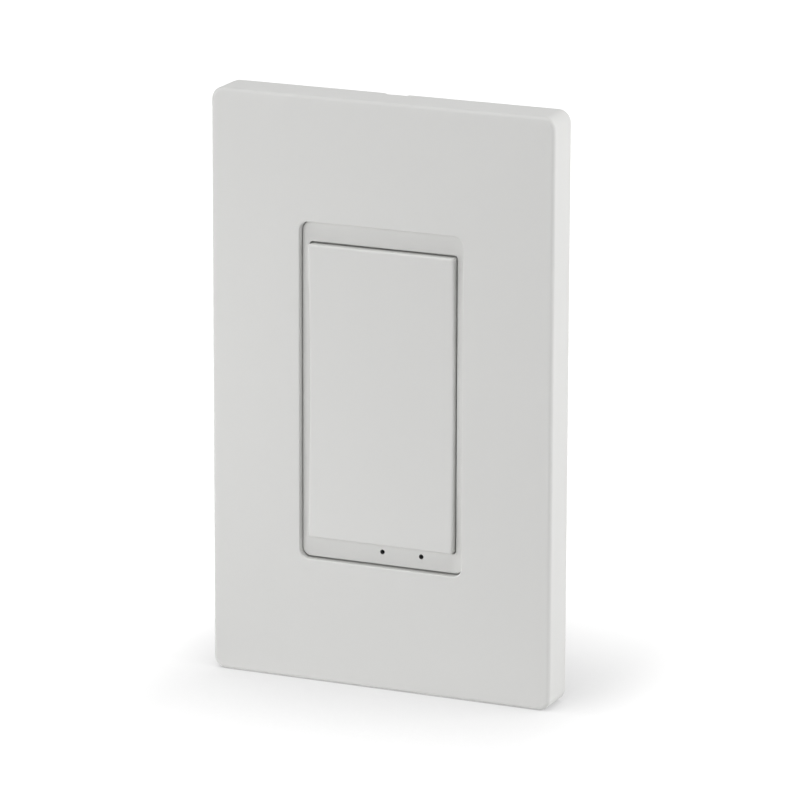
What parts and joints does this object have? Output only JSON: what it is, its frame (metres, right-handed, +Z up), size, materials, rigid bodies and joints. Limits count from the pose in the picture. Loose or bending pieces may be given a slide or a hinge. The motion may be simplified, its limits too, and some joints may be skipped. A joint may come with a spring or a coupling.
{
  "type": "smart light switch",
  "caption": "Wall-mounted smart light switch: flat screwless cover plate, framed concave rocker that springs back, steel strap and deep rear housing with side terminals.",
  "frame": {"origin": "midway between the two box screws, on the wall's surface", "axes": "+X to the right seen from the room, +Y into the wall, +Z up; the rocker faces -Y"},
  "size_m": [0.0698, 0.0397, 0.1142],
  "materials": {
    "plate_plastic": "satin white moulded plastic",
    "frame_plastic": "satin white moulded plastic",
    "rocker_plastic": "satin white moulded plastic",
    "adapter_plastic": "plain white moulded plastic",
    "housing_plastic": "dark grey heat-resistant plastic, fine spark-eroded texture",
    "strap_steel": "zinc-plated pressed steel",
    "screw_steel": "zinc-plated steel",
    "terminal_brass": "plain brass",
    "earth_green": "green-dyed zinc plating",
    "retainer_fibre": "pressed fibre",
    "clear_plastic": "clear light-guide plastic",
    "led_resin": "pale resin",
    "board_laminate": "green solder mask on laminate",
    "module_laminate": "dark blue solder mask on laminate",
    "shield_metal": "tinned sheet",
    "chip_plastic": "black moulding compound",
    "plunger_plastic": "black plastic",
    "relay_plastic": "blue moulded case",
    "ferrite": "pressed ferrite",
    "winding_tape": "yellow winding tape",
    "can_sleeve": "dark shrink sleeve",
    "film_box": "ochre film capacitor box",
    "varistor_resin": "blue dipped resin",
    "fuse_sleeve": "grey shrink sleeve"
  },
  "bodies": {
    "switch_body": {"cover_plate": "plate_plastic", "front_frame": "frame_plastic", "sub_plate": "adapter_plastic", "sub_plate_screws": "screw_steel", "box_screws": "screw_steel", "housing_screws": "screw_steel", "board_screws": "screw_steel", "screw_retainers": "retainer_fibre", "yoke_strap": "strap_steel", "back_housing": "housing_plastic", "ground_screw": "earth_green", "line_screw": "terminal_brass", "load_screw": "terminal_brass", "neutral_screw": "screw_steel", "line_clamp": "terminal_brass", "load_clamp": "terminal_brass", "neutral_clamp": "screw_steel", "line_terminal": "terminal_brass", "load_terminal": "terminal_brass", "neutral_terminal": "terminal_brass", "light_pipe": "clear_plastic", "status_led": "led_resin", "logic_board": "board_laminate", "power_board": "board_laminate", "radio_module": "module_laminate", "radio_shield": "shield_metal", "control_chip": "chip_plastic", "upper_switch": "chip_plastic", "lower_switch": "chip_plastic", "reset_switch": "chip_plastic", "header_pins": "terminal_brass", "header_strips": "chip_plastic", "relay": "relay_plastic", "transformer_core": "ferrite", "transformer_winding": "winding_tape", "filter_capacitor": "can_sleeve", "output_capacitor": "can_sleeve", "safety_capacitor": "film_box", "varistor": "varistor_resin", "fuse": "fuse_sleeve", "rectifier": "chip_plastic"},
    "rocker": {"rocker": "rocker_plastic"},
    "upper_plunger": {"upper_plunger": "plunger_plastic"},
    "lower_plunger": {"lower_plunger": "plunger_plastic"},
    "reset_plunger": {"reset_plunger": "plunger_plastic"}
  },
  "joints": [
    {"name": "rocker_tilt", "type": "hinge", "parent": "switch_body", "child": "rocker", "pos_m": [0, -0.003, 0], "axis": [1, 0, 0], "range_deg": [-1.5, 1.5], "stiffness_Nm_per_rad": 0.6},
    {"name": "upper_press", "type": "slide", "parent": "switch_body", "child": "upper_plunger", "axis": [0, 1, 0], "range_m": [-0.0006, 0.0006]},
    {"name": "lower_press", "type": "slide", "parent": "switch_body", "child": "lower_plunger", "axis": [0, 1, 0], "range_m": [-0.0006, 0.0006]},
    {"name": "reset_press", "type": "slide", "parent": "switch_body", "child": "reset_plunger", "axis": [0, 1, 0], "range_m": [0, 0.00025], "stiffness_N_per_m": 400}
  ],
  "couplings": [
    {"joint": "upper_press", "follows": "rocker_tilt", "m_per_rad": -0.02},
    {"joint": "lower_press", "follows": "rocker_tilt", "m_per_rad": 0.02}
  ]
}
